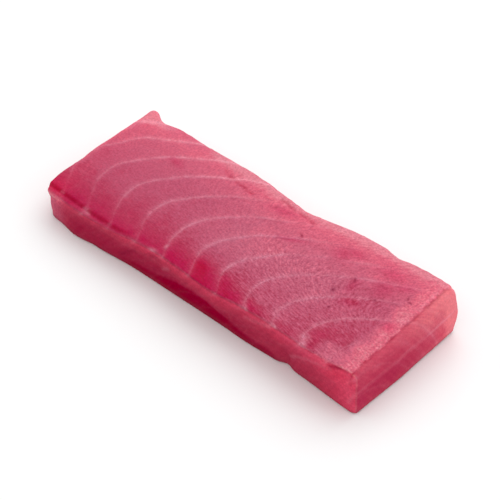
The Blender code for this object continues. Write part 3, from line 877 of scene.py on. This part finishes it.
class Nodes:
    """Builds one material, one node a line."""

    def __init__(self, name):
        self.material = bpy.data.materials.new(name)
        self.material.use_nodes = True
        self.tree = self.material.node_tree
        self.shader = self.tree.nodes["Principled BSDF"]

    def plug(self, socket, value):
        if isinstance(value, bpy.types.NodeSocket):
            self.tree.links.new(value, socket)
        else:
            socket.default_value = value

    def new(self, kind):
        return self.tree.nodes.new(kind)

    def math(self, operation, a, b=0.0, clamp=False):
        node = self.new("ShaderNodeMath")
        node.operation = operation
        node.use_clamp = clamp
        self.plug(node.inputs[0], a)
        self.plug(node.inputs[1], b)
        return node.outputs[0]

    def add(self, first, *others):
        for other in others:
            first = self.math("ADD", first, other)
        return first

    def times(self, first, *others):
        for other in others:
            first = self.math("MULTIPLY", first, other)
        return first

    def minus(self, a, b):
        return self.math("SUBTRACT", a, b)

    def decay(self, distance, reach):
        """Falls from 1 at distance 0 towards 0, with this reach."""
        return self.math("EXPONENT", self.times(distance, -1.0 / reach))

    def attribute(self, name):
        node = self.new("ShaderNodeAttribute")
        node.attribute_name = name
        return node.outputs["Fac"]

    def vector(self, x, y, z):
        node = self.new("ShaderNodeCombineXYZ")
        self.plug(node.inputs["X"], x)
        self.plug(node.inputs["Y"], y)
        self.plug(node.inputs["Z"], z)
        return node.outputs["Vector"]

    def places(self, stretch=(1.0, 1.0, 1.0)):
        """The point's place in millimetres, with each axis multiplied by its stretch."""
        coordinates = self.new("ShaderNodeTexCoord")
        mapping = self.new("ShaderNodeMapping")
        self.plug(mapping.inputs["Vector"], coordinates.outputs["Object"])
        mapping.inputs["Scale"].default_value = [share / MM for share in stretch]
        return mapping.outputs["Vector"]

    def noise(self, size, detail=2.0, places=None):
        """Noise from about -1 to 1 with bumps of this size in millimetres."""
        node = self.new("ShaderNodeTexNoise")
        node.inputs["Scale"].default_value = 1.0 / size
        node.inputs["Detail"].default_value = detail
        self.plug(node.inputs["Vector"], self.places() if places is None else places)
        return self.times(self.minus(node.outputs["Fac"], 0.5), 2.0)

    def step(self, value, start, end, low=0.0, high=1.0):
        """A smooth step from low at start to high at end."""
        node = self.new("ShaderNodeMapRange")
        node.interpolation_type = "SMOOTHSTEP"
        self.plug(node.inputs["Value"], value)
        self.plug(node.inputs["From Min"], start)
        self.plug(node.inputs["From Max"], end)
        self.plug(node.inputs["To Min"], low)
        self.plug(node.inputs["To Max"], high)
        return node.outputs["Result"]

    def colours(self, value, stops):
        node = self.new("ShaderNodeValToRGB")
        band = node.color_ramp
        while len(band.elements) < len(stops):
            band.elements.new(0.5)
        for element, (place, colour) in zip(band.elements, stops):
            element.position = place
            element.color = linear(*colour)
        self.plug(node.inputs["Fac"], value)
        return node.outputs["Color"]

    def blend(self, share, a, b):
        node = self.new("ShaderNodeMix")
        node.data_type = "RGBA"
        self.plug(node.inputs["Factor"], share)
        self.plug(node.inputs["A"], a)
        self.plug(node.inputs["B"], b)
        return node.outputs["Result"]

    def tint(self, colour, factors):
        node = self.new("ShaderNodeVectorMath")
        node.operation = "MULTIPLY"
        self.plug(node.inputs[0], colour)
        self.plug(node.inputs[1], factors)
        return node.outputs["Vector"]

    def brighten(self, colour, factor):
        node = self.new("ShaderNodeVectorMath")
        node.operation = "SCALE"
        self.plug(node.inputs["Vector"], colour)
        self.plug(node.inputs["Scale"], factor)
        return node.outputs["Vector"]


TOP_TONES = (
    (0.00, (168, 4, 58)),
    (0.12, (170, 18, 67)),
    (0.32, (170, 52, 81)),
    (0.52, (178, 78, 103)),
    (0.74, (191, 89, 112)),
    (0.88, (203, 93, 115)),
    (1.00, (207, 117, 132)),
)
SIDE_TONES = (
    (0.00, (145, 0, 42)),
    (0.20, (151, 19, 55)),
    (0.35, (157, 32, 62)),
    (0.50, (167, 43, 70)),
    (0.65, (180, 49, 76)),
    (0.80, (193, 54, 82)),
    (1.00, (208, 66, 94)),
)
END_TONES = (
    (0.00, (164, 36, 69)),
    (0.30, (178, 54, 80)),
    (0.50, (188, 68, 91)),
    (0.75, (202, 90, 106)),
    (1.00, (220, 112, 122)),
)
SEAM_COLOUR = (214, 140, 160)
FAR_SEAM_COLOUR = (236, 166, 180)
BLOOD_AND_SHADE_COLOUR = (118, 6, 48)
TEAR_COLOUR = (160, 3, 48)
# The grey red of the painted contact shade at the foot of the sides
CONTACT_SHADE_COLOUR = (128, 62, 74)


def flesh_material():
    """Moist raw tuna: fibres, ragged pale seams, and a painted shadow behind each seam."""
    n = Nodes("tuna_flesh")
    number = n.attribute("seam_number")
    rate = n.attribute("seam_rate")
    seams = n.attribute("seams")
    shoulder = n.attribute("shoulder")
    fibres = n.attribute("fibres")
    crumbs = n.attribute("crumbs")
    wet = n.attribute("wet")
    side = n.attribute("side")
    end = n.attribute("end")

    # Distances in millimetres to the seam behind and to the next one
    ragged = n.times(n.noise(1.8, 3.0), 0.022)
    part = n.math("FRACT", n.add(number, ragged))
    rest = n.minus(1.0, part)
    behind = n.math("DIVIDE", part, rate)
    ahead = n.math("DIVIDE", rest, rate)
    nearest = n.math("MINIMUM", behind, ahead)

    width = n.add(1.35, n.times(n.noise(3.0, 2.0), 0.45), n.times(shoulder, 0.15))
    lopsided = n.step(n.minus(ahead, behind), -0.5, 0.5, 1.12, 0.9)
    spread = n.math("DIVIDE", nearest, n.times(width, lopsided))
    spread = n.times(spread, spread)
    core = n.math("EXPONENT", n.times(spread, -5.5))
    soft = n.math("EXPONENT", n.times(spread, -1.0))
    core_unbroken = n.step(n.noise(1.6, 3.0), -0.4, 0.3, 0.25, 1.0)
    unbroken = n.step(n.noise(4.0, 3.0), -0.4, 0.3, 0.45, 1.0)
    line = n.times(n.add(n.times(core, core_unbroken, 0.62), n.times(soft, 0.42)), unbroken, seams)
    halo = n.add(n.decay(ahead, 1.6), n.times(n.decay(behind, 2.5), 0.35))
    halo = n.times(halo, shoulder, n.step(n.noise(5.0, 2.0), -0.4, 0.4, 0.3, 1.0))
    marked = n.step(seams, 0.1, 0.6)
    # Painted shade just behind each seam, and painted light rising towards the next seam, as over a shallow step
    # in each flake
    shadow = n.times(n.decay(behind, 3.5), marked, n.add(0.05, n.times(shoulder, -0.04)))
    painted_step_light = n.times(n.decay(ahead, 5.0), marked, 0.05)

    # The fibres of a flake run across it, from one seam to the next
    span = n.times(part, SEAM_SPACING)
    lean = n.step(n.attribute("across"), 0.0, 30.0, 0.22, 0.75)
    level = n.new("ShaderNodeSeparateXYZ")
    n.plug(level.inputs["Vector"], n.places())
    level_y = level.outputs["Y"]
    across_fibres = n.add(level_y, n.times(span, lean))
    flake = n.times(n.math("FLOOR", number), 31.0)
    hatch = n.noise(1.0, 2.0, n.vector(n.times(span, 0.28), n.times(across_fibres, 1.15), flake))
    grit = n.noise(0.9, 2.0)

    mottle = n.add(n.times(n.noise(9.0, 2.0), 0.06), n.times(n.noise(2.8, 2.0), 0.07))
    level_x = level.outputs["X"]
    level_z = level.outputs["Z"]
    leaning = n.add(level_x, n.times(level_y, -1.0), n.times(level_z, -0.7))
    streaks = n.noise(1.9, 2.0, n.vector(leaning, n.times(level_z, 0.15), 0.0))
    layers = n.add(n.times(n.noise(2.6, 2.0, n.places((0.14, 0.14, 1.0))), 0.10), n.times(streaks, 0.17))
    layers = n.times(layers, n.add(side, n.times(end, 1.15)))
    wet_edge = n.step(part, 0.15, 0.85, 1.0, 0.25)
    dip = n.times(wet, wet_edge, 0.26)
    tone = n.add(n.attribute("tone"), painted_step_light, mottle, layers)
    tone = n.minus(n.minus(tone, shadow), dip)
    tone = n.add(tone, n.times(hatch, fibres, 0.20), n.times(n.noise(1.0, 2.0, n.places((0.8, 1.0, 1.0))), crumbs, 0.18))
    colour = n.colours(tone, TOP_TONES)
    colour = n.blend(side, colour, n.colours(tone, SIDE_TONES))
    colour = n.blend(end, colour, n.colours(tone, END_TONES))

    seam_colour = n.blend(n.step(level_y, 12.0, 26.0), linear(*SEAM_COLOUR), linear(*FAR_SEAM_COLOUR))
    colour = n.blend(n.times(halo, 0.42), colour, seam_colour)
    colour = n.blend(n.times(line, 0.50), colour, seam_colour)
    colour = n.blend(n.times(n.attribute("split"), 0.5), colour, linear(*SEAM_COLOUR))
    # Pale seam colour over the pale marks, and over one painted highlight on the top
    colour = n.blend(n.times(n.attribute("pale_marks_and_highlight"), 0.45), colour, linear(*SEAM_COLOUR))
    # Painted shade: the foot of the sides is greyed and darkened as the contact shade on the floor
    colour = n.blend(n.times(n.attribute("foot"), 0.35), colour, linear(*CONTACT_SHADE_COLOUR))
    colour = n.blend(n.times(n.attribute("tears"), 0.9), colour, linear(*TEAR_COLOUR))
    # Dark red marks, and the painted shade in the nick and the creases
    colour = n.blend(n.times(n.attribute("blood_and_crease_shade"), 0.80), colour, linear(*BLOOD_AND_SHADE_COLOUR))
    # Grain: fine, and stronger where fibres or crumbs stand up than where the flesh is wet
    dry = n.minus(1.0, n.times(wet, 0.3))
    grain = n.times(grit, dry, n.add(n.attribute("grain"), n.times(crumbs, 0.05)))
    dots = n.times(n.step(n.noise(1.1, 1.0), 0.18, 0.45), dry, n.add(0.06, n.times(fibres, 0.14)))
    texture = n.add(grain, n.times(hatch, fibres, 0.33), n.times(dots, -0.8))
    shade = n.add(1.045, texture, n.times(n.noise(2.2, 2.0), 0.07))
    colour = n.brighten(colour, shade)

    # Painted light: the flesh is painted redder where light would come through it, and the grain is paler: partly
    # its own colour and partly a painted sparkle where it catches light
    glow = n.add(1.0, n.times(n.attribute("glow"), 0.22))
    flush = n.attribute("flush")
    paler = n.times(texture, n.add(0.2, n.times(fibres, 0.7)))
    green = n.times(n.minus(1.0, n.times(flush, 0.34)), n.add(1.03, paler))
    blue = n.times(n.minus(1.0, n.times(flush, 0.20)), n.add(1.02, n.times(paler, 0.7)))
    colour = n.tint(colour, n.vector(glow, green, blue))
    n.plug(n.shader.inputs["Base Color"], colour)

    roughness = n.add(0.42, n.times(wet, -0.17), n.times(crumbs, 0.08), n.times(n.noise(3.0, 2.0), 0.06))
    n.plug(n.shader.inputs["Roughness"], roughness)

    fine = n.times(n.noise(0.7, 3.0), n.add(0.5, crumbs))
    height = n.add(fine, n.times(hatch, fibres, 1.2), n.times(line, 0.8))
    rough = n.new("ShaderNodeBump")
    rough.inputs["Strength"].default_value = 0.4
    rough.inputs["Distance"].default_value = 0.1 * MM
    n.plug(rough.inputs["Height"], height)
    n.plug(n.shader.inputs["Normal"], rough.outputs["Normal"])

    n.shader.inputs["Specular IOR Level"].default_value = 0.0
    n.shader.inputs["Subsurface Weight"].default_value = 0.2
    n.shader.inputs["Subsurface Radius"].default_value = (1.0, 0.25, 0.25)
    n.shader.inputs["Subsurface Scale"].default_value = 2.0 * MM
    n.plug(n.shader.inputs["Coat Weight"], n.add(0.05, n.times(wet, 0.10), n.times(n.attribute("pocket"), -0.05)))
    n.shader.inputs["Coat Roughness"].default_value = 0.25
    return n.material


# ---------------------------------------------------------------- the block

def read_normals(mesh):
    values = np.zeros(len(mesh.vertices) * 3, np.float32)
    mesh.vertex_normals.foreach_get("vector", values)
    return values.reshape(-1, 3).astype(float)


def laid_in_box(points):
    """The points in metres, stretched so that they fill the solid's box exactly."""
    low, high = (np.array(corner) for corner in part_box(NODE))
    found_low = points.min(axis=0)
    found_high = points.max(axis=0)
    return low + (points - found_low) / (found_high - found_low) * (high - low)


def tuna_block():
    """The block of flesh, which stands for the solid."""
    skin = Skin()
    mesh = skin.mesh("tuna_flesh_block")
    normals = read_normals(mesh)
    zones = Zones(skin.points, normals, skin.box)
    points = skin.points + relief(zones, skin.points)[:, None] * normals
    mesh.vertices.foreach_set("co", laid_in_box(points).astype(np.float32).ravel())
    fields = {
        "seam_number": zones.number,
        "seam_rate": zones.rate,
        "across": zones.across,
        "seams": zones.seams(),
        "shoulder": zones.shoulder(),
        "fibres": zones.fibres(),
        "crumbs": zones.crumbs(),
        "wet": zones.wet(),
        "split": zones.split(),
        "pale_marks_and_highlight": zones.spots(PALE_SPOTS_AND_HIGHLIGHT) + zones.wisps(),
        "blood_and_crease_shade": zones.blood_and_crease_shade(),
        "tears": zones.tears(),
        "glow": zones.glow(),
        "flush": zones.flush(),
        "grain": zones.grain(),
        "pocket": zones.pocket(),
        "foot": zones.foot(),
        "side": zones.side(),
        "end": zones.end(),
        "tone": zones.tone(),
    }
    for name, values in fields.items():
        attribute = mesh.attributes.new(name, "FLOAT", "POINT")
        attribute.data.foreach_set("value", values.astype(np.float32))
    mesh.update()
    mesh.materials.append(flesh_material())
    block = bpy.data.objects.new("tuna_flesh_block", mesh)
    bpy.context.scene.collection.objects.link(block)
    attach(block, "root")
    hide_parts(NODE)
    return block


# ---------------------------------------------------------------- floor, light and camera

FLOOR_SIZE = 6.0
FLOOR_COLOUR = (0.93, 0.93, 0.93, 1.0)
CAMERA_AZIMUTH = 42.3
CAMERA_ELEVATION = 43.5
CAMERA_DISTANCE = 0.9452
CAMERA_TARGET = (-0.00168, 0.00524, 0.00657)
CAMERA_LENS = 151.2


def floor():
    """The pale surface the block lies on."""
    half = FLOOR_SIZE / 2
    mesh = bpy.data.meshes.new("floor")
    corners = [(-half, -half, 0.0), (half, -half, 0.0), (half, half, 0.0), (-half, half, 0.0)]
    mesh.from_pydata(corners, [], [(0, 1, 2, 3)])
    material = bpy.data.materials.new("floor")
    material.use_nodes = True
    shader = material.node_tree.nodes["Principled BSDF"]
    shader.inputs["Base Color"].default_value = FLOOR_COLOUR
    shader.inputs["Roughness"].default_value = 0.8
    shader.inputs["Specular IOR Level"].default_value = 0.0
    mesh.materials.append(material)
    plane = bpy.data.objects.new("floor", mesh)
    bpy.context.scene.collection.objects.link(plane)


def aim(thing, place, target):
    """Puts a lamp or a camera at place, looking at target."""
    thing.location = place
    thing.rotation_euler = (Vector(target) - Vector(place)).to_track_quat("-Z", "Y").to_euler()


def area_light(name, direction, distance, size, power, colour=(1.0, 1.0, 1.0)):
    lamp = bpy.data.lights.new(name, "AREA")
    lamp.shape = "SQUARE"
    lamp.size = size
    lamp.energy = power
    lamp.color = colour
    light = bpy.data.objects.new(name, lamp)
    bpy.context.scene.collection.objects.link(light)
    aim(light, Vector(direction).normalized() * distance, (0.0, 0.0, 0.01))


def lights():
    """A white room, a large soft lamp above and behind, and a weaker one beside the thick end."""
    area_light("key", (-0.15, 0.60, 0.80), 1.1, 1.1, 5.2)
    area_light("side", (0.90, 0.30, 0.35), 1.0, 0.6, 1.0)
    world = bpy.data.worlds.new("room")
    world.use_nodes = True
    background = world.node_tree.nodes["Background"]
    background.inputs["Color"].default_value = (1.0, 1.0, 1.0, 1.0)
    background.inputs["Strength"].default_value = 0.86
    bpy.context.scene.world = world


def camera():
    lens = bpy.data.cameras.new("camera")
    lens.lens = CAMERA_LENS
    lens.sensor_width = 36.0
    eye = bpy.data.objects.new("camera", lens)
    bpy.context.scene.collection.objects.link(eye)
    azimuth = math.radians(CAMERA_AZIMUTH)
    elevation = math.radians(CAMERA_ELEVATION)
    level = math.cos(elevation)
    back = Vector((math.sin(azimuth) * level, -math.cos(azimuth) * level, math.sin(elevation)))
    target = Vector(CAMERA_TARGET)
    aim(eye, target + back * CAMERA_DISTANCE, target)
    bpy.context.scene.camera = eye


tuna_block()
floor()
lights()
camera()
bpy.context.scene.view_settings.view_transform = "Standard"
